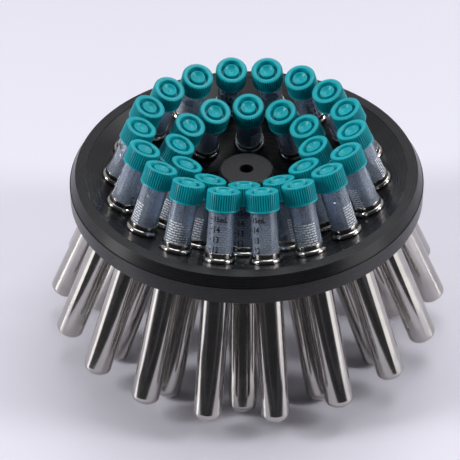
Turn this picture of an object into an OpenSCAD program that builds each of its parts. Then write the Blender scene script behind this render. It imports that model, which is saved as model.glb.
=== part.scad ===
// Fixed angle rotor of a low speed bench centrifuge: a turned plate with two rings of steel sleeves,
// each holding a screw-capped conical tube that leans in towards the drive shaft.
// +Z is up the shaft, z = 0 is the bench that the inner sleeves stand on, and the front is -Y.

/* [Rings] */
// Lean of every tube, top towards the shaft, in degrees
tilt = 23; // [21:1:26]
// Distance of the outer sleeves' axes from the dish's edge
outer_inset = 18.7; // [17:0.1:20]
// Distance between the radii of the two rings
ring_step = 24.2; // [23:0.1:27]
// Least gap between neighbouring caps in a ring, which sets how many tubes fit
cap_space = 1.3; // [0.8:0.05:1.35]

/* [Plate] */
// Radius of the rim's lower wall
rim_r = 114; // [112:0.5:120]
// Height of the rim's lower wall
rim_wall_h = 11.5; // [9:0.1:14]
// Height of the sloping band above the lower wall
rim_slope_h = 6.4; // [4:0.1:7]
// How far that band leans in
rim_slope_in = 3.8; // [2:0.1:5]
// Width of the flat ring around the dish
flat_ring_w = 7; // [6:0.5:8]
// Slope of the dish, in degrees
dish_slope = 28; // [26:1:30]
// Thickness of the dish, square to its surface
dish_t = 10; // [8:0.5:12]
// Distance of the dish's flat floor from the inner sleeves' axes
floor_inset = 16.3; // [14:0.1:20]

/* [Hub] */
// Radius of the hub
hub_r = 17.5; // [16:0.5:20]
// How far the hub's top lies below the flat ring
hub_below_rim = 0.7; // [0:0.1:5]
// Diameter of the clamp screw's hole through the hub
screw_hole_d = 9; // [6:0.5:12]
// Diameter of the drive shaft's bore
shaft_bore_d = 16; // [14:1:20]
// Depth of the drive shaft's bore
shaft_bore_depth = 34; // [24:1:38]
// Radius of the boss under the hub
boss_r = 24; // [20:1:28]
// How far the boss stands below the dish
boss_h = 12; // [9:1:16]

/* [Sleeve] */
// Outside diameter of a sleeve
sleeve_d = 18; // [17.8:0.1:18.4]
// Thickness of the sleeve's sheet
sleeve_wall = 0.5; // [0.4:0.1:0.6]
// Length of a sleeve below its bead
sleeve_depth = 104; // [96:0.5:110]
// Height of the rolled bead
bead_h = 4.4; // [3:0.1:5]
// How far the bead stands out
bead_out = 1.3; // [1:0.05:1.5]
// Height of the lip above the bead
lip_h = 3.2; // [2:0.1:4]
// Play between a sleeve and its hole, on the radius
hole_play = 0.15; // [0.1:0.05:0.2]

/* [Tube] */
// Outside diameter of a tube
tube_d = 16.6; // [16:0.1:16.8]
// Thickness of the tube's wall
tube_wall = 1.05; // [0.8:0.05:1.2]
// Length of a tube with its cap on
tube_len = 120; // [118:0.5:121]
// How far the cap's top stands off the sleeve's seat
tube_proud = 46; // [44:0.5:48]
// Height of the tube's conical end
cone_h = 22.5; // [20:0.5:24]
// Radius of the tube's rounded tip
tip_r = 2.6; // [2:0.1:3]
// Depth of the neck that the cap screws onto
neck_step = 0.4; // [0.2:0.05:0.5]

/* [Cap] */
// Diameter of a cap over its ribs
cap_d = 20.8; // [20.4:0.1:21]
// Height of a cap
cap_h = 12; // [11:0.1:13]
// Number of grip ribs
rib_count = 42; // [36:2:48]
// Height of a grip rib
rib_h = 0.5; // [0.3:0.05:0.6]
// Height of the plain ring at the skirt's foot
foot_h = 1.2; // [0.8:0.1:2]
// Gap between a cap and its tube
cap_gap = 0.3; // [0.2:0.05:0.4]

/* [Hidden] */
$fn = 96;
eps = 0.01;

function ring_angles(count, first) = [for (i = [0:count - 1]) first + i * 360 / count];
function two_digits(i) = str(i < 10 ? "0" : "", i);
function cap_name(ring, i) = str(ring, "_cap_", two_digits(i));
function arc(centre, r, from, to, steps) =
    [for (i = [0:steps]) let (a = from + (to - from) * i / steps) centre + r * [cos(a), sin(a)]];
function reversed(list) = [for (i = [len(list) - 1:-1:0]) list[i]];

// Rings, from the rim inwards; neighbouring caps come closest at their tops
rim_top_r = rim_r - rim_slope_in;
dish_r = rim_top_r - flat_ring_w;
outer_seat_r = dish_r - outer_inset;
inner_seat_r = outer_seat_r - ring_step;
floor_r = inner_seat_r - floor_inset;
outer_count = places(outer_seat_r);
inner_count = places(inner_seat_r);
outer_angles = ring_angles(outer_count, 180 / outer_count);
inner_angles = ring_angles(inner_count, 0);

function places(seat_r) = floor(2 * PI * (seat_r - tube_proud * sin(tilt)) / (cap_d + cap_space));

// Sleeve: a knuckle joins the straight wall to the wide crown of the bottom
sleeve_r = sleeve_d / 2;
knuckle_r = 4.4;
crown_r = 11;
crown_rise = sqrt(pow(crown_r - knuckle_r, 2) - pow(sleeve_r - knuckle_r, 2));
knuckle_y = -sleeve_depth + crown_r - crown_rise;
crown_y = knuckle_y + crown_rise;
knuckle_angle = -atan2(crown_rise, sleeve_r - knuckle_r);
bead_arc_r = (pow(bead_h / 2, 2) + pow(bead_out, 2)) / (2 * bead_out);
bead_angle = asin(bead_h / 2 / bead_arc_r);
lip_y = bead_h + lip_h;

// Plate
hole_r = sleeve_r + hole_play;
seat_r = sleeve_r + bead_out + 0.3;
seat_sink = seat_r * cos(tilt) * (tan(dish_slope) - tan(tilt));
seat_cut_h = 2 * seat_sink + 3;
rim_edge = 0.9;
groove = 0.6;
ring_edge = 0.4;
flange_in = 10;
plate_top = dish_depth(inner_seat_r) + seat_sink + (sleeve_depth - crown_r) * cos(tilt) + crown_r;
dish_drop = dish_t / cos(dish_slope);
floor_z = plate_top - dish_depth(floor_r);
under_floor_z = floor_z - dish_drop;
boss_bottom = under_floor_z - boss_h;
hub_top = plate_top - hub_below_rim;
hub_edge = 1;

function dish_depth(r) = (dish_r - r) * tan(dish_slope);
function seat_z(r) = plate_top - dish_depth(r) - seat_sink;

// Tube and cap, measured from the sleeve's seat along the tube
cap_top = tube_proud;
cap_foot = cap_top - cap_h;
cap_roof = 1.9;
cap_edge = 0.5;
foot_flare = 0.1;
tube_r = tube_d / 2;
tube_in_r = tube_r - tube_wall;
tube_rim = cap_top - cap_roof - cap_gap;
tube_tip = cap_top - tube_len;
cone_top = tube_tip + cone_h;
neck_foot = cap_foot + 0.7;
ring_count = 3;
ring_w = 1.1;
ring_pitch = (tube_rim - neck_foot - ring_w) / ring_count;

// Cushion: a round-bottomed plug with a seat that holds part of the tube's conical end
cushion_gap = 0.1;
cushion_grip = 13;
cushion_top = tube_tip + cushion_grip;

// Moves a tube's own frame, origin on its seat and +Z up the tube, to its place in a ring
module at_place(ring_r, angle) {
    rotate([0, 0, angle]) translate([0, -ring_r, seat_z(ring_r)]) rotate([-tilt, 0, 0]) children();
}

module ring(ring_r, angles) {
    for (angle = angles) at_place(ring_r, angle) children();
}

// Half section of the plate with its hub, before the holes
module plate_section() {
    flange_r = rim_r - flange_in;
    wall_top = plate_top - rim_slope_h;
    rim_bottom = wall_top - rim_wall_h - rim_edge;
    polygon([
        [0, hub_top], [hub_r - hub_edge, hub_top], [hub_r, hub_top - hub_edge], [hub_r, floor_z],
        [floor_r, floor_z], [dish_r, plate_top - ring_edge], [dish_r + ring_edge, plate_top],
        [rim_top_r, plate_top], [rim_r - groove, wall_top], [rim_r - groove, wall_top - groove],
        [rim_r, wall_top - groove], [rim_r, rim_bottom + rim_edge], [rim_r - rim_edge, rim_bottom],
        [flange_r, rim_bottom], [flange_r, plate_top - dish_depth(flange_r) - dish_drop],
        [floor_r, under_floor_z], [boss_r, under_floor_z], [boss_r, boss_bottom], [0, boss_bottom]
    ]);
}

// Hole for a sleeve, with a flat seat for its bead
module sleeve_hole() {
    translate([0, 0, -2 * dish_t]) cylinder(r = hole_r, h = 2 * dish_t + 1);
    cylinder(r = seat_r, h = seat_cut_h);
}

module rotor_plate() {
    color("#3a383e") difference() {
        rotate_extrude() plate_section();
        ring(outer_seat_r, outer_angles) sleeve_hole();
        ring(inner_seat_r, inner_angles) sleeve_hole();
        translate([0, 0, boss_bottom - 1]) cylinder(d = shaft_bore_d, h = shaft_bore_depth + 1);
        translate([0, 0, boss_bottom]) cylinder(d = screw_hole_d, h = hub_top - boss_bottom + 1);
    }
}

// One side of the sleeve's sheet, from the axis at the bottom up to the lip; inset is the depth
// below the outer surface
function sleeve_side(inset) = concat(
    arc([0, crown_y], crown_r - inset, -90, knuckle_angle, 6),
    arc([sleeve_r - knuckle_r, knuckle_y], knuckle_r - inset, knuckle_angle, 0, 5),
    arc([sleeve_r + bead_out - bead_arc_r, bead_h / 2], bead_arc_r - inset,
        -side_bead_angle(inset), side_bead_angle(inset), 6),
    [[sleeve_r - inset, lip_y]]);

function side_bead_angle(inset) =
    acos((sleeve_r - inset - (sleeve_r + bead_out - bead_arc_r)) / (bead_arc_r - inset));

module sleeve() {
    color("#b9b6b4") rotate_extrude()
        polygon(concat(sleeve_side(0), reversed(sleeve_side(sleeve_wall))));
}

module outer_sleeves() { ring(outer_seat_r, outer_angles) sleeve(); }
module inner_sleeves() { ring(inner_seat_r, inner_angles) sleeve(); }

// One side of the tube's conical end and wall; inset is the depth below the outer surface
function tube_side(inset) =
    let (slope = atan2(tube_r - tip_r, cone_h - tip_r), tip_y = tube_tip + tip_r)
    concat(
        arc([0, tip_y], tip_r - inset, -90, -slope, 4),
        [[tube_r - inset, cone_top], [tube_r - inset, tube_rim]]);

// Outside of the neck, with rings that stand for the thread's turns
neck_side = concat(
    [[tube_r, neck_foot], [tube_r - neck_step, neck_foot + neck_step]],
    [for (i = [0:ring_count - 1], p = [[neck_step, 0], [0, 0.35], [0, 0.65], [neck_step, 1]])
        [tube_r - p[0], neck_foot + (i + 0.4) * ring_pitch + p[1] * ring_w]],
    [[tube_r - neck_step, tube_rim]]);

module tube() {
    outer_side = [for (p = tube_side(0)) if (p.y < neck_foot) p];
    color("#c9ced8", 0.35) rotate_extrude()
        polygon(concat(outer_side, neck_side, reversed(tube_side(tube_wall))));
}

module outer_tubes() { ring(outer_seat_r, outer_angles) tube(); }
module inner_tubes() { ring(inner_seat_r, inner_angles) tube(); }

module cushion() {
    gap = sleeve_wall + cushion_gap;
    tube_end = tube_side(-cushion_gap);
    bottom = [for (p = sleeve_side(gap)) if (p.y < knuckle_y + eps) p];
    seat_at_top = lookup(cushion_top, [for (p = tube_end) [p.y, p.x]]);
    color("#2b2b2c") rotate_extrude()
        polygon(concat(
            bottom, [[sleeve_r - gap, cushion_top], [seat_at_top, cushion_top]],
            reversed([for (p = tube_end) if (p.y < cushion_top - eps) p])));
}

module outer_cushions() { ring(outer_seat_r, outer_angles) cushion(); }
module inner_cushions() { ring(inner_seat_r, inner_angles) cushion(); }

// Half section of a cap without its ribs, y = 0 at its top
module cap_section() {
    skirt_r = cap_d / 2 - foot_flare - rib_h;
    edge = cap_edge;
    bore_r = tube_r + cap_gap;
    plug_r = tube_in_r - cap_gap;
    groove_r = 7.1;
    button_r = 4.8;
    groove_h = 4.2;
    plug_h = 5.8;
    bowl_h = 2.1;
    web = 1.1;
    polygon([
        [0, -bowl_h], [button_r * 0.5, -bowl_h * 0.8], [button_r - 0.7, -edge], [button_r - 0.2, -edge],
        [button_r + 0.1, -groove_h], [groove_r - web, -groove_h], [groove_r, -edge], [groove_r + 0.2, 0],
        [skirt_r - edge, 0], [skirt_r, -edge],
        [skirt_r, foot_h - cap_h], [cap_d / 2, foot_h - cap_h], [cap_d / 2, -cap_h], [bore_r, -cap_h],
        [bore_r, -cap_roof], [plug_r, -cap_roof], [plug_r - 0.2, -plug_h], [button_r - web, -plug_h],
        [button_r - web - 0.2, -bowl_h - web], [0, -bowl_h - web]
    ]);
}

// Grip ribs: a band of trapezium teeth rooted in the skirt, between the top's edge and the foot
module cap_ribs() {
    tip_r = cap_d / 2 - foot_flare;
    root_r = tip_r - rib_h - 0.3;
    pitch = 360 / rib_count;
    teeth = [for (i = [0:rib_count - 1], t = [[-0.36, root_r], [-0.18, tip_r], [0.18, tip_r], [0.36, root_r]])
        let (a = (i + t[0]) * pitch) t[1] * [cos(a), sin(a)]];
    translate([0, 0, foot_h / 2 - cap_h]) linear_extrude(cap_h - foot_h / 2 - cap_edge - 0.3) difference() {
        polygon(teeth);
        circle(r = root_r - 0.2);
    }
}

module cap() {
    color("#12a5ad") translate([0, 0, cap_top]) {
        rotate_extrude() cap_section();
        cap_ribs();
    }
}

module cap_in_ring(ring_r, angle) { at_place(ring_r, angle) cap(); }

rotor_plate();
outer_sleeves();
inner_sleeves();
outer_cushions();
inner_cushions();
outer_tubes();
inner_tubes();
for (i = [1:outer_count])
    cap_in_ring(outer_seat_r, outer_angles[i - 1]);
for (i = [1:inner_count])
    cap_in_ring(inner_seat_r, inner_angles[i - 1]);
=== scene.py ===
import math

import bmesh
import bpy
from mathutils import Matrix, Vector


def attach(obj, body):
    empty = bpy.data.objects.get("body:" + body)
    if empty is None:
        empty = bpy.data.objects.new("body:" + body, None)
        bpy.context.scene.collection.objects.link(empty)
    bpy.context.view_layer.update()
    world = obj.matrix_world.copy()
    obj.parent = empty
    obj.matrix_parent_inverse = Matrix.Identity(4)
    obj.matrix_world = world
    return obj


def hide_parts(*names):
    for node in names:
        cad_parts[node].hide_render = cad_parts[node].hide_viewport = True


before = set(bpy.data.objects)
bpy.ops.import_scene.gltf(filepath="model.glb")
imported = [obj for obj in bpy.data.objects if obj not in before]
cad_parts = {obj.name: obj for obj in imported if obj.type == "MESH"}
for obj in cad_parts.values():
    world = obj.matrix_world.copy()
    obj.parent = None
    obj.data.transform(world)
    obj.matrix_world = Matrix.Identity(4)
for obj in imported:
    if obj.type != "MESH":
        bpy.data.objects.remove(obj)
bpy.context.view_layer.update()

scene = bpy.context.scene
scene.view_settings.view_transform = "Standard"

MM = 0.001
# Faces round a sleeve or a tube, and the heights in mm of the rings along their plain walls
SEGMENTS = 60
SLEEVE_RINGS = (-60, -30, -12)
TUBE_RINGS = (-30, 0, 20)


# ------------------------------------------------------- sizes, in mm, as in the part's source but for RIB_H

OUTER_COUNT, OUTER_R = 18, 84.5
INNER_COUNT, INNER_R = 12, 60.3
TILT = math.radians(23)
DISH_SLOPE = math.radians(28)
RIM_R, RIM_SLOPE_IN, FLAT_RING_W = 114, 3.8, 7
DISH_R = RIM_R - RIM_SLOPE_IN - FLAT_RING_W

SLEEVE_R, SLEEVE_WALL, SLEEVE_DEPTH = 9, 0.5, 104
BEAD_H, BEAD_OUT, LIP_H = 4.4, 1.3, 3.2
KNUCKLE_R, CROWN_R = 4.4, 11

TUBE_R, TUBE_WALL, TUBE_LEN, TUBE_PROUD = 8.3, 1.05, 120, 46
CONE_H, TIP_R, NECK_STEP = 22.5, 2.6, 0.4
CAP_R, CAP_H, FOOT_H = 10.4, 12, 1.2
CAP_GAP, CAP_ROOF, FOOT_FLARE = 0.3, 1.9, 0.1
# The ribs stand out as far as the part's 0.5 mm ribs, over valleys that are 0.3 mm deeper than its own
RIB_H = 0.8
SEAT_GAP = 0.3

SEAT_R = SLEEVE_R + BEAD_OUT + SEAT_GAP
SEAT_SINK = SEAT_R * math.cos(TILT) * (math.tan(DISH_SLOPE) - math.tan(TILT))
PLATE_TOP = ((DISH_R - INNER_R) * math.tan(DISH_SLOPE) + SEAT_SINK
             + (SLEEVE_DEPTH - CROWN_R) * math.cos(TILT) + CROWN_R)
LIP_Y = BEAD_H + LIP_H
CAP_FOOT = TUBE_PROUD - CAP_H
TUBE_RIM = TUBE_PROUD - CAP_ROOF - CAP_GAP
TUBE_TIP = TUBE_PROUD - TUBE_LEN
NECK_FOOT = CAP_FOOT + 0.7
# The neck's rings: how many, how wide, and where a ring's crest begins and ends
NECK_RINGS, NECK_RING_W, NECK_CREST = 3, 1.1, (0.38, 0.72)


def seat_z(ring_r):
    return PLATE_TOP - (DISH_R - ring_r) * math.tan(DISH_SLOPE) - SEAT_SINK


def at_place(ring_r, angle):
    """A tube's own frame, origin on its seat and +Z up the tube, in metres; angle in degrees."""
    turn = Matrix.Rotation(math.radians(angle), 4, "Z")
    out = Matrix.Translation(Vector((0, -ring_r, seat_z(ring_r))) * MM)
    return turn @ out @ Matrix.Rotation(-TILT, 4, "X")


PLACES = [(f"outer_{{}}_{i + 1:02d}", OUTER_R, (i + 0.5) * 360 / OUTER_COUNT) for i in range(OUTER_COUNT)]
PLACES += [(f"inner_{{}}_{i + 1:02d}", INNER_R, i * 360 / INNER_COUNT) for i in range(INNER_COUNT)]


# ---------------------------------------------------------------- mesh helpers

def arc(cx, cy, r, start, end, steps):
    """Points on an arc, angles in degrees."""
    out = []
    for i in range(steps + 1):
        a = math.radians(start + (end - start) * i / steps)
        out.append((cx + r * math.cos(a), cy + r * math.sin(a)))
    return out


def make_mesh(name, verts, faces, sharp):
    """A mesh in mm with its normals turned outwards and its shading smooth between sharp edges."""
    mesh = bpy.data.meshes.new(name)
    mesh.from_pydata([Vector(v) * MM for v in verts], [], faces)
    bm = bmesh.new()
    bm.from_mesh(mesh)
    bmesh.ops.recalc_face_normals(bm, faces=bm.faces)
    bm.to_mesh(mesh)
    bm.free()
    mesh.polygons.foreach_set("use_smooth", [True] * len(mesh.polygons))
    mesh.set_sharp_from_angle(angle=math.radians(sharp))
    return mesh


class Lathe:
    """Collects rings of points turned about Z and bridges neighbouring rings with faces."""

    def __init__(self):
        self.verts = []
        self.faces = []
        self.last = None

    def ring(self, radii, z):
        """radii: 0 for a point on the axis, or a list of radii at evenly spaced angles."""
        start = len(self.verts)
        if not isinstance(radii, list):
            self.verts.append((0, 0, z))
            new = [start]
        else:
            n = len(radii)
            for i, r in enumerate(radii):
                a = 2 * math.pi * i / n
                self.verts.append((r * math.cos(a), r * math.sin(a), z))
            new = list(range(start, start + n))
        if self.last is not None:
            self.bridge(self.last, new)
        self.last = new

    def bridge(self, low, high):
        a, b = (low, high) if len(low) >= len(high) else (high, low)
        ratio = len(a) // len(b)
        for i in range(len(a)):
            i2 = (i + 1) % len(a)
            if len(b) == 1:
                self.faces.append((a[i], a[i2], b[0]))
                continue
            j, j2 = i // ratio, ((i + 1) // ratio) % len(b)
            if j == j2:
                self.faces.append((a[i], a[i2], b[j]))
            elif ratio == 1:
                self.faces.append((a[i], a[i2], b[j2], b[j]))
            else:
                self.faces.append((a[i], a[i2], b[j2]))
                self.faces.append((a[i], b[j2], b[j]))

    def turn(self, profile, segments):
        for r, z in profile:
            self.ring([r] * segments if r > 1e-6 else 0, z)


def revolve(name, profile, segments, sharp):
    lathe = Lathe()
    lathe.turn(profile, segments)
    return make_mesh(name, lathe.verts, lathe.faces, sharp)


def piece(name, mesh, matrix, body, material):
    """A piece of the object at its place, riding on a body of the CAD."""
    obj = bpy.data.objects.new(name, mesh)
    scene.collection.objects.link(obj)
    obj.matrix_world = matrix
    if not mesh.materials:
        mesh.materials.append(material)
    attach(obj, body)
    return obj


# ---------------------------------------------------------------- materials

class Nodes:
    """A new material and short calls that add its nodes and links."""

    def __init__(self, name, **sockets):
        self.material = bpy.data.materials.new(name)
        self.material.use_nodes = True
        self.tree = self.material.node_tree
        self.shader = self.tree.nodes["Principled BSDF"]
        for socket, value in sockets.items():
            self.shader.inputs[socket.replace("_", " ")].default_value = value

    def add(self, kind, inputs=None, **settings):
        node = self.tree.nodes.new(kind)
        for key, value in settings.items():
            setattr(node, key, value)
        for key, value in (inputs or {}).items():
            if isinstance(value, bpy.types.NodeSocket):
                self.tree.links.new(value, node.inputs[key])
            else:
                node.inputs[key].default_value = value
        return node

    def link(self, output, socket):
        self.tree.links.new(output, self.shader.inputs[socket])

    def coordinates(self, scale=(1, 1, 1), shift=0.0):
        """Object coordinates, stretched, and shifted by a different amount on every piece."""
        where = self.add("ShaderNodeTexCoord").outputs["Object"]
        if shift:
            chance = self.add("ShaderNodeObjectInfo").outputs["Random"]
            amount = self.add("ShaderNodeMath", {0: chance, 1: shift}, operation="MULTIPLY").outputs[0]
            where = self.add("ShaderNodeVectorMath", {0: where, 1: amount}, operation="ADD").outputs[0]
        return self.add("ShaderNodeMapping", {"Vector": where, "Scale": scale}).outputs[0]

    def noise(self, where, scale, detail=3.0, roughness=0.5):
        node = self.add("ShaderNodeTexNoise", {"Vector": where, "Scale": scale, "Detail": detail,
                                               "Roughness": roughness})
        return node.outputs["Fac"]

    def spread(self, value, low, high, start=0.3, end=0.7):
        """value from start..end spread over low..high."""
        node = self.add("ShaderNodeMapRange", {"Value": value, "From Min": start, "From Max": end,
                                               "To Min": low, "To Max": high})
        return node.outputs["Result"]

    def blend(self, value, first, second):
        node = self.add("ShaderNodeMix", data_type="RGBA")
        node.inputs["A"].default_value = (*first, 1)
        node.inputs["B"].default_value = (*second, 1)
        self.tree.links.new(value, node.inputs["Factor"])
        return node.outputs["Result"]

    def bump(self, height, distance, strength=1.0, under=None):
        inputs = {"Height": height, "Distance": distance, "Strength": strength}
        if under is not None:
            inputs["Normal"] = under
        return self.add("ShaderNodeBump", inputs).outputs["Normal"]


def plate_material():
    """Black anodised aluminium, turned: faint rings from the tool and a satin sheen."""
    m = Nodes("plate_black_anodised", Specular_IOR_Level=0.35)
    where = m.add("ShaderNodeTexCoord").outputs["Object"]
    parts = m.add("ShaderNodeSeparateXYZ", {"Vector": where})
    flat = m.add("ShaderNodeCombineXYZ", {"X": parts.outputs["X"], "Y": parts.outputs["Y"], "Z": 0.0})
    radius = m.add("ShaderNodeVectorMath", {0: flat.outputs[0]}, operation="LENGTH").outputs["Value"]
    turned = m.add("ShaderNodeCombineXYZ", {"X": radius, "Y": parts.outputs["Z"], "Z": 0.0}).outputs[0]
    rings = m.noise(turned, 1500, 2.0)
    cloud = m.noise(where, 28, 4.0)
    grain = m.noise(where, 1800, 2.0)
    m.link(m.blend(m.spread(cloud, 0, 1), (0.0075, 0.0075, 0.0090), (0.0120, 0.0118, 0.0140)), "Base Color")
    mixed = m.add("ShaderNodeMath", {0: rings, 1: cloud}, operation="MULTIPLY").outputs[0]
    m.link(m.spread(mixed, 0.24, 0.33, 0.1, 0.45), "Roughness")
    m.link(m.bump(rings, 0.00001, 0.5, m.bump(grain, 0.00001, 0.4)), "Normal")
    return m.material


def steel_material():
    """Polished stainless tube with fine turned lines and a few dull patches."""
    m = Nodes("sleeve_polished_steel", Metallic=1.0)
    along = m.coordinates((160, 160, 2400), 3.0)
    lines = m.noise(along, 1.0, 2.0)
    cloud = m.noise(m.coordinates(shift=3.0), 90, 3.0)
    m.link(m.blend(m.spread(cloud, 0, 1), (0.45, 0.425, 0.405), (0.52, 0.50, 0.48)), "Base Color")
    mixed = m.add("ShaderNodeMath", {0: lines, 1: cloud}, operation="MULTIPLY").outputs[0]
    m.link(m.spread(mixed, 0.09, 0.17, 0.1, 0.45), "Roughness")
    m.link(m.bump(lines, 0.00001, 0.25), "Normal")
    return m.material


def cap_material():
    """Moulded teal polyethylene with a slight orange peel."""
    m = Nodes("cap_teal_plastic", Specular_IOR_Level=0.3)
    where = m.coordinates(shift=3.0)
    cloud = m.noise(where, 110, 3.0)
    m.link(m.blend(m.spread(cloud, 0, 1), (0.0010, 0.300, 0.350), (0.0020, 0.360, 0.415)), "Base Color")
    m.link(m.spread(m.noise(where, 420, 2.0), 0.27, 0.38), "Roughness")
    m.link(m.bump(m.noise(where, 900, 2.0), 0.00002, 0.5), "Normal")
    return m.material


def tube_material():
    """Clear plastic with a bluish haze and faint flow marks; the haze is stronger away from the neck,
    painted shade that leaves the tube darker under the cap.
    """
    m = Nodes("tube_clear_plastic", IOR=1.49)
    where = m.coordinates(shift=3.0)
    height = m.add("ShaderNodeSeparateXYZ", {"Vector": m.coordinates()}).outputs["Z"]
    # painted shade: less haze towards the neck darkens the upper tube as the cap's shadow would
    m.link(m.spread(height, 0.80, 0.90, 0.014, 0.034), "Transmission Weight")
    flow = m.noise(m.coordinates((500, 500, 30), 3.0), 1.0, 2.0)
    m.link(m.blend(m.spread(flow, 0, 1), (0.72, 0.81, 0.96), (0.80, 0.89, 1.0)), "Base Color")
    m.link(m.spread(m.noise(where, 160, 3.0), 0.015, 0.04), "Roughness")
    m.link(m.bump(flow, 0.00001, 0.3), "Normal")
    return m.material


def rubber_material():
    """Black rubber, dull and slightly grainy."""
    m = Nodes("cushion_black_rubber", Specular_IOR_Level=0.35)
    where = m.coordinates()
    m.link(m.blend(m.spread(m.noise(where, 120, 4.0), 0, 1), (0.016, 0.016, 0.017), (0.030, 0.030, 0.031)),
           "Base Color")
    m.link(m.spread(m.noise(where, 500, 2.0), 0.6, 0.85), "Roughness")
    m.link(m.bump(m.noise(where, 1500, 2.0), 0.00004, 0.6), "Normal")
    return m.material


def ink_material(name, first, second):
    """Screen-printed ink: slightly uneven in cover and gloss."""
    m = Nodes(name, Specular_IOR_Level=0.4)
    where = m.coordinates(shift=3.0)
    m.link(m.blend(m.spread(m.noise(where, 700, 3.0), 0, 1), first, second), "Base Color")
    m.link(m.spread(m.noise(where, 350, 2.0), 0.4, 0.6), "Roughness")
    return m.material


PLATE = plate_material()
STEEL = steel_material()
CAP = cap_material()
TUBE = tube_material()
RUBBER = rubber_material()
DARK_INK = ink_material("print_dark_ink", (0.004, 0.005, 0.008), (0.010, 0.011, 0.015))
WHITE_INK = ink_material("print_white_ink", (0.66, 0.69, 0.74), (0.82, 0.84, 0.88))

for node, material in (("rotor_plate", PLATE), ("outer_cushions", RUBBER), ("inner_cushions", RUBBER)):
    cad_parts[node].material_slots[0].material = material


# ---------------------------------------------------------------- sleeve

def sleeve_side(inset):
    """One side of the sheet from the axis at the bottom up to the lip."""
    crown_rise = math.sqrt((CROWN_R - KNUCKLE_R) ** 2 - (SLEEVE_R - KNUCKLE_R) ** 2)
    crown_y = -SLEEVE_DEPTH + CROWN_R
    knuckle_y = crown_y - crown_rise
    knuckle_angle = -math.degrees(math.atan2(crown_rise, SLEEVE_R - KNUCKLE_R))
    bead_arc_r = ((BEAD_H / 2) ** 2 + BEAD_OUT ** 2) / (2 * BEAD_OUT)
    bead_cx = SLEEVE_R + BEAD_OUT - bead_arc_r
    side = math.degrees(math.acos((SLEEVE_R - inset - bead_cx) / (bead_arc_r - inset)))
    out = arc(0, crown_y, CROWN_R - inset, -90, knuckle_angle, 8)
    out[0] = (0, out[0][1])
    out += arc(SLEEVE_R - KNUCKLE_R, knuckle_y, KNUCKLE_R - inset, knuckle_angle, 0, 7)[1:]
    out += [(SLEEVE_R - inset, z) for z in SLEEVE_RINGS]
    out += arc(bead_cx, BEAD_H / 2, bead_arc_r - inset, -side, side, 12)
    out.append((SLEEVE_R - inset, LIP_Y - SLEEVE_WALL / 2))
    return out


def sleeve_mesh():
    outside, inside = sleeve_side(0), sleeve_side(SLEEVE_WALL)
    rim = arc(SLEEVE_R - SLEEVE_WALL / 2, LIP_Y - SLEEVE_WALL / 2, SLEEVE_WALL / 2, 0, 180, 6)[1:-1]
    return revolve("sleeve", outside + rim + inside[::-1], SEGMENTS, sharp=40)


# ---------------------------------------------------------------- tube

def tube_mesh():
    slope = math.degrees(math.atan2(TUBE_R - TIP_R, CONE_H - TIP_R))

    def side(inset):
        out = arc(0, TUBE_TIP + TIP_R, TIP_R - inset, -90, -slope, 6)
        out[0] = (0, out[0][1])
        return out + [(TUBE_R - inset, TUBE_TIP + CONE_H)]

    pitch = (TUBE_RIM - NECK_FOOT - NECK_RING_W) / NECK_RINGS
    neck = [(TUBE_R, NECK_FOOT), (TUBE_R - NECK_STEP, NECK_FOOT + NECK_STEP)]
    for i in range(NECK_RINGS):
        foot = NECK_FOOT + (i + 0.4) * pitch
        neck += [(TUBE_R - NECK_STEP, foot), *((TUBE_R, foot + z) for z in NECK_CREST),
                 (TUBE_R - NECK_STEP, foot + NECK_RING_W)]
    neck += [(TUBE_R - NECK_STEP, TUBE_RIM - 0.2), (TUBE_R - NECK_STEP - 0.2, TUBE_RIM)]
    wall = [(TUBE_R, z) for z in TUBE_RINGS]
    inner = [(TUBE_R - TUBE_WALL + 0.15, TUBE_RIM), (TUBE_R - TUBE_WALL, TUBE_RIM - 0.15)]
    inner += [(TUBE_R - TUBE_WALL, z) for z in TUBE_RINGS[::-1]]
    return revolve("tube", side(0) + wall + neck + inner + side(TUBE_WALL)[::-1], SEGMENTS, sharp=30)


# ---------------------------------------------------------------- cap

RIBS = 42
# A rib's shape across one pitch, from valley to valley, as shares of RIB_H
RIB_SHAPE = (0.0, 0.4, 1.0, 1.0, 1.0, 0.4)


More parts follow.
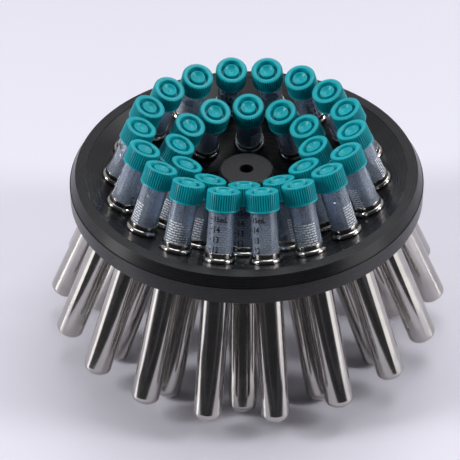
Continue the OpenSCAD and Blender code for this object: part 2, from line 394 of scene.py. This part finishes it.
def cap_mesh():
    """Ribbed skirt, flat top ring, deep groove, and a button with a hollow and a gate mark."""
    lathe = Lathe()
    count = RIBS * len(RIB_SHAPE)
    # a smooth ring has a third of a ribbed ring's points
    plain = count // 3
    skirt = CAP_R - FOOT_FLARE - RIB_H
    bore = TUBE_R + CAP_GAP

    def ribbed(r, z, rib=0.0):
        lathe.ring([r + rib * RIB_SHAPE[i % len(RIB_SHAPE)] for i in range(count)], z)

    def smooth(r, z):
        lathe.ring([r] * plain if r > 1e-6 else 0, z)

    # outside, from the foot up
    smooth(bore, -CAP_H + 0.3)
    smooth(bore + 0.3, -CAP_H)
    ribbed(CAP_R - 0.25, -CAP_H)
    ribbed(CAP_R, -CAP_H + 0.25)
    ribbed(CAP_R, -CAP_H + FOOT_H - 0.2)
    ribbed(CAP_R - 0.15, -CAP_H + FOOT_H)
    ribbed(skirt, -CAP_H + FOOT_H + 0.05, RIB_H)
    ribbed(skirt, -6, RIB_H)
    ribbed(skirt, -0.75, RIB_H)
    ribbed(skirt - 0.05, -0.35, RIB_H * 0.8)
    ribbed(skirt - 0.3, -0.08, RIB_H * 0.3)
    # flat ring, groove and button
    smooth(skirt - 0.9, 0)
    for r, z in ((7.55, 0), (7.25, -0.1), (7.05, -0.4), (6.6, -2.0), (6.2, -3.8), (6.0, -4.15),
                 (5.2, -4.2), (5.0, -3.9), (4.86, -1.2), (4.78, -0.85), (4.6, -0.62), (4.35, -0.55),
                 (4.1, -0.62), (3.6, -1.0), (3.0, -1.42), (2.2, -1.82), (1.2, -2.05), (0.62, -2.09),
                 (0.5, -1.9), (0.28, -1.78), (0, -1.76)):
        smooth(r, z)
    lathe.last = None
    # underside: bore, plug and the button's hollow
    start = len(lathe.verts)
    for r, z in ((bore, -CAP_H + 0.3), (bore, -CAP_ROOF)):
        smooth(r, z)
    plug = TUBE_R - TUBE_WALL - CAP_GAP
    for r, z in ((plug + 0.1, -CAP_ROOF), (plug, -CAP_ROOF - 0.2), (plug - 0.1, -5.4), (plug - 0.5, -5.8),
                 (4.1, -5.8), (3.75, -5.5), (3.5, -3.3), (3.2, -3.2), (0, -3.2)):
        smooth(r, z)
    # the bore's lowest ring is the outside's first ring
    moved = {start + i: i for i in range(plain)}
    faces = [tuple(moved.get(v, v) for v in face) for face in lathe.faces]
    return make_mesh("cap", lathe.verts, faces, sharp=38)


# ---------------------------------------------------------------- printed scale

PRINT_R = TUBE_R + 0.06
# The scale: tube per mL, its top mark's height, its top and lowest numbers, and its left edge in degrees
ML = 6.4
TOP_MARK_Z = 29.1
TOP_MARK = 15
LOW_MARK = 3
TICK_AT = -30
HATCH_FROM, HATCH_TO, HATCH_STEP, HATCH_LINE = -6.0, 21.0, 1.6, 0.8
HATCH_DASH, HATCH_GAP = 2.7, 0.6
# Half of the angle that the writing patch covers, on the side across from the scale
HATCH_HALF_ANGLE = 50
DIGIT_SIZE, DIGIT_SQUEEZE = 5.3, 0.8
TOP_WORDS_SIZE = DIGIT_SIZE * 0.86
TEXT_WEIGHT, TEXT_SPACING = 0.032, 1.08
# Ticks from the left edge, long at each mL and short at each half; then the digits, from DIGIT_FROM
LONG_TICK, SHORT_TICK, HALF_TICK_LINE, DIGIT_FROM = 2.4, 1.5, 0.24, 3.2
# Width of the strips that the print is cut into, so that it follows the tube
STRIP = 0.7


def wrap(x, z):
    """A point of the flat print, x along the wall, on the tube; x = 0 faces -Y."""
    a = x / PRINT_R
    return (PRINT_R * math.sin(a), -PRINT_R * math.cos(a), z)


def text_shape(words, size):
    """Vertices and faces of a line of words, flat, centred in height on its own origin."""
    curve = bpy.data.curves.new("words", "FONT")
    curve.body = words
    curve.size = size
    curve.align_y = "CENTER"
    curve.resolution_u = 2
    curve.offset = size * TEXT_WEIGHT
    curve.space_character = TEXT_SPACING
    obj = bpy.data.objects.new("words", curve)
    scene.collection.objects.link(obj)
    bpy.context.view_layer.update()
    mesh = bpy.data.meshes.new_from_object(obj)
    bm = bmesh.new()
    bm.from_mesh(mesh)
    # cut into upright strips, so that wide strokes follow the tube's curve
    for step in range(1, math.ceil(obj.dimensions.x / STRIP)):
        bmesh.ops.bisect_plane(bm, geom=bm.verts[:] + bm.edges[:] + bm.faces[:],
                               plane_co=(step * STRIP, 0, 0), plane_no=(1, 0, 0))
    bm.verts.index_update()
    verts = [tuple(v.co) for v in bm.verts]
    faces = [tuple(v.index for v in face.verts) for face in bm.faces]
    bm.free()
    bpy.data.objects.remove(obj)
    bpy.data.curves.remove(curve)
    bpy.data.meshes.remove(mesh)
    return verts, faces


class Print:
    """Flat shapes in one ink, wrapped round the tube."""

    def __init__(self):
        self.verts = []
        self.faces = []

    def bar(self, x0, x1, z0, z1):
        steps = max(1, math.ceil(abs(x1 - x0) / STRIP))
        start = len(self.verts)
        for i in range(steps + 1):
            x = x0 + (x1 - x0) * i / steps
            self.verts += [wrap(x, z0), wrap(x, z1)]
        for i in range(steps):
            k = start + 2 * i
            self.faces.append((k, k + 2, k + 3, k + 1))

    def words(self, words, size, x, z):
        verts, faces = text_shape(words, size)
        start = len(self.verts)
        self.verts += [wrap(x + v[0] * DIGIT_SQUEEZE, z + v[1]) for v in verts]
        self.faces += [tuple(start + i for i in face) for face in faces]

    def mesh(self, name):
        mesh = bpy.data.meshes.new(name)
        mesh.from_pydata([Vector(v) * MM for v in self.verts], [], self.faces)
        mesh.polygons.foreach_set("use_smooth", [True] * len(mesh.polygons))
        return mesh


def degrees_to_x(angle):
    return math.radians(angle) * PRINT_R


def scale_mesh():
    out = Print()
    left = degrees_to_x(TICK_AT)
    for half in range(2 * (TOP_MARK - LOW_MARK) + 1):
        z = TOP_MARK_Z - half * ML / 2
        whole = half % 2 == 0
        out.bar(left, left + (LONG_TICK if whole else SHORT_TICK), z - HALF_TICK_LINE, z + HALF_TICK_LINE)
        if whole:
            value = TOP_MARK - half // 2
            if value == TOP_MARK:
                out.words(f"{value}mL", TOP_WORDS_SIZE, left + DIGIT_FROM, z)
            else:
                out.words(str(value), DIGIT_SIZE, left + DIGIT_FROM, z)
    return out.mesh("scale")


def hatch_mesh():
    out = Print()
    side = degrees_to_x(HATCH_HALF_ANGLE)
    middle = degrees_to_x(180)
    rows = round((HATCH_TO - HATCH_FROM) / HATCH_STEP)
    for i in range(rows + 1):
        z = HATCH_TO - i * HATCH_STEP
        x = middle - side - (i % 2) * (HATCH_DASH + HATCH_GAP) / 2
        while x < middle + side:
            start, end = max(x, middle - side), min(x + HATCH_DASH, middle + side)
            if end > start:
                out.bar(start, end, z - HATCH_LINE / 2, z + HATCH_LINE / 2)
            x += HATCH_DASH + HATCH_GAP
    return out.mesh("writing_patch")


# ---------------------------------------------------------------- pieces at their places

# How far each printed tube is turned in its sleeve, in degrees: listed for nine tubes in front,
# and SPIRAL times its number for the others
SPIRAL = 137.5
TURNS = {"outer_{}_18": -17, "outer_{}_01": -52, "outer_{}_02": 148, "outer_{}_17": -158,
         "outer_{}_03": 205, "outer_{}_16": 150, "inner_{}_01": -20, "inner_{}_02": -150, "inner_{}_12": 165}

SLEEVE_MESH, TUBE_MESH, CAP_MESH = sleeve_mesh(), tube_mesh(), cap_mesh()
SCALE_MESH, HATCH_MESH = scale_mesh(), hatch_mesh()
CAP_PLACE = Matrix.Translation((0, 0, TUBE_PROUD * MM))

for number, (name, ring_r, angle) in enumerate(PLACES):
    place = at_place(ring_r, angle)
    ring = name.split("_")[0]
    sleeve = piece(name.format("sleeve"), SLEEVE_MESH, place, "rotor", STEEL)
    tube = piece(name.format("tube"), TUBE_MESH, place, "rotor", TUBE)
    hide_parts(f"{ring}_sleeves")
    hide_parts(f"{ring}_tubes")
    cap_node = name.format("cap")
    cap = piece(f"{cap_node}_moulding", CAP_MESH, place @ CAP_PLACE, f"{cap_node}_body", CAP)
    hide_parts(cap_node)
    turned = place @ Matrix.Rotation(math.radians(TURNS.get(name, number * SPIRAL)), 4, "Z")
    piece(name.format("scale"), SCALE_MESH, turned, "rotor", DARK_INK)
    piece(name.format("writing_patch"), HATCH_MESH, turned, "rotor", WHITE_INK)


# ---------------------------------------------------------------- floor, light and camera

def floor():
    """Large pale bench top with a soft gloss."""
    size = 6.0
    mesh = bpy.data.meshes.new("bench")
    corners = [(-size, -size, 0), (size, -size, 0), (size, size, 0), (-size, size, 0)]
    mesh.from_pydata(corners, [], [(0, 1, 2, 3)])
    obj = bpy.data.objects.new("bench", mesh)
    scene.collection.objects.link(obj)
    m = Nodes("bench_pale", Specular_IOR_Level=0.35)
    where = m.coordinates()
    m.link(m.blend(m.spread(m.noise(where, 3.0, 3.0), 0, 1), (0.722, 0.708, 0.792), (0.728, 0.714, 0.798)),
           "Base Color")
    m.link(m.spread(m.noise(where, 40, 3.0), 0.285, 0.295), "Roughness")
    mesh.materials.append(m.material)


# The height that the lamps point at, in mm
LAMP_AIM_Z = 80


def softbox(name, azimuth, elevation, distance, width, height, power):
    """Rectangular lamp seen from the object at azimuth (0 in front, 90 at right) and elevation."""
    a, e = math.radians(azimuth), math.radians(elevation)
    target = Vector((0, 0, LAMP_AIM_Z * MM))
    away = Vector((math.sin(a) * math.cos(e), -math.cos(a) * math.cos(e), math.sin(e)))
    lamp = bpy.data.lights.new(name, "AREA")
    lamp.shape = "RECTANGLE"
    lamp.size, lamp.size_y = width, height
    lamp.energy = power
    obj = bpy.data.objects.new(name, lamp)
    scene.collection.objects.link(obj)
    obj.location = target + away * distance
    obj.rotation_euler = (-away).to_track_quat("-Z", "Y").to_euler()


def surroundings():
    """Pale room behind, dark in front: a gradient over the sky's directions."""
    world = bpy.data.worlds.new("studio")
    scene.world = world
    world.use_nodes = True
    tree = world.node_tree
    background = tree.nodes["Background"]

    def node(kind, **settings):
        new = tree.nodes.new(kind)
        for key, value in settings.items():
            setattr(new, key, value)
        return new

    where = node("ShaderNodeTexCoord")
    parts = node("ShaderNodeSeparateXYZ")
    tree.links.new(where.outputs["Generated"], parts.inputs[0])
    back = node("ShaderNodeMapRange", interpolation_type="SMOOTHSTEP")
    for key, value in (("From Min", -0.55), ("From Max", 0.45), ("To Min", 0.0), ("To Max", 1.0)):
        back.inputs[key].default_value = value
    tree.links.new(parts.outputs["Y"], back.inputs["Value"])
    mix = node("ShaderNodeMix", data_type="RGBA")
    mix.inputs["A"].default_value = (0.05, 0.05, 0.055, 1)
    mix.inputs["B"].default_value = (0.86, 0.86, 0.90, 1)
    tree.links.new(back.outputs["Result"], mix.inputs["Factor"])
    tree.links.new(mix.outputs["Result"], background.inputs["Color"])
    background.inputs["Strength"].default_value = 0.64


def only_in_reflections(obj):
    """A card that shapes what the polished steel mirrors, and neither lights nor shades anything."""
    obj.visible_camera = False
    obj.visible_diffuse = False
    obj.visible_shadow = False
    obj.visible_transmission = False
    obj.visible_volume_scatter = False


# Heights of the light cards' lower edge and of the painted-shade card over the bench, in m
CARD_FOOT, PAINTED_SHADE_CARD_Z = 0.002, 0.0005


def polar(radius, azimuth, z):
    a = math.radians(azimuth)
    return (radius * math.sin(a), -radius * math.cos(a), z)


def light_card(name, azimuth, width, radius, height, strength):
    """Upright glowing strip beside the object, as the edge of a softbox shows in the sleeves."""
    mesh = bpy.data.meshes.new(name)
    ends = (azimuth - width / 2, azimuth + width / 2)
    mesh.from_pydata([polar(radius, a, z) for z in (CARD_FOOT, height) for a in ends], [], [(0, 1, 3, 2)])
    obj = bpy.data.objects.new(name, mesh)
    scene.collection.objects.link(obj)
    m = Nodes(name)
    glow = m.add("ShaderNodeEmission", {"Strength": strength})
    m.tree.links.new(glow.outputs[0], m.tree.nodes["Material Output"].inputs["Surface"])
    mesh.materials.append(m.material)
    only_in_reflections(obj)


def dark_card(azimuths, inner, outer):
    """A dark sheet beyond the front of the bench that paints shade into what the sleeves mirror, standing in
    for the unlit room; clear from below.
    """
    mesh = bpy.data.meshes.new("dark_card")
    start, end = azimuths
    steps = 24
    turns = [start + (end - start) * i / steps for i in range(steps + 1)]
    verts = [polar(r, a, PAINTED_SHADE_CARD_Z) for a in turns for r in (inner, outer)]
    mesh.from_pydata(verts, [], [(2 * i, 2 * i + 1, 2 * i + 3, 2 * i + 2) for i in range(steps)])
    obj = bpy.data.objects.new("dark_card", mesh)
    scene.collection.objects.link(obj)
    # painted shade: this near-black sheet shows only in reflections, in place of the unlit room
    m = Nodes("dark_card", Base_Color=(0.03, 0.03, 0.032, 1), Roughness=0.9, Specular_IOR_Level=0.1)
    clear = m.add("ShaderNodeBsdfTransparent")
    below = m.add("ShaderNodeNewGeometry").outputs["Backfacing"]
    mix = m.add("ShaderNodeMixShader", {0: below, 1: m.shader.outputs[0], 2: clear.outputs[0]})
    m.tree.links.new(mix.outputs[0], m.tree.nodes["Material Output"].inputs["Surface"])
    mesh.materials.append(m.material)
    only_in_reflections(obj)


def camera():
    """The photograph's viewpoint: raised 38 degrees, a long lens, the shaft a little right of centre."""
    azimuth, elevation, roll = math.radians(2.55), math.radians(38.3), math.radians(-0.75)
    distance, lens, aim_z, aside = 1450, 172.6, 69.4, -11.1
    back = Vector((math.sin(azimuth) * math.cos(elevation), -math.cos(azimuth) * math.cos(elevation),
                   math.sin(elevation)))
    right = Vector((math.cos(azimuth), math.sin(azimuth), 0))
    up = back.cross(right)
    right, up = (right * math.cos(roll) + up * math.sin(roll), up * math.cos(roll) - right * math.sin(roll))
    data = bpy.data.cameras.new("camera")
    data.sensor_width = 36
    data.lens = lens
    data.clip_start, data.clip_end = 0.05, 30
    obj = bpy.data.objects.new("camera", data)
    scene.collection.objects.link(obj)
    turn = Matrix((right, up, back)).transposed().to_4x4()
    spot = Vector((0, 0, aim_z)) + back * distance + right * aside
    obj.matrix_world = Matrix.Translation(spot * MM) @ turn
    scene.camera = obj


floor()
surroundings()
softbox("softbox_left", azimuth=-78, elevation=26, distance=1.5, width=0.3, height=0.9, power=16)
softbox("softbox_right", azimuth=84, elevation=28, distance=1.5, width=0.32, height=0.9, power=12.5)
softbox("softbox_top", azimuth=160, elevation=66, distance=1.7, width=1.2, height=1.0, power=12)
light_card("light_card_left", azimuth=-70, width=15, radius=0.36, height=0.32, strength=1.9)
light_card("light_card_right", azimuth=65, width=24, radius=0.36, height=0.32, strength=1.5)
dark_card(azimuths=(-62, 52), inner=0.27, outer=2.0)
camera()
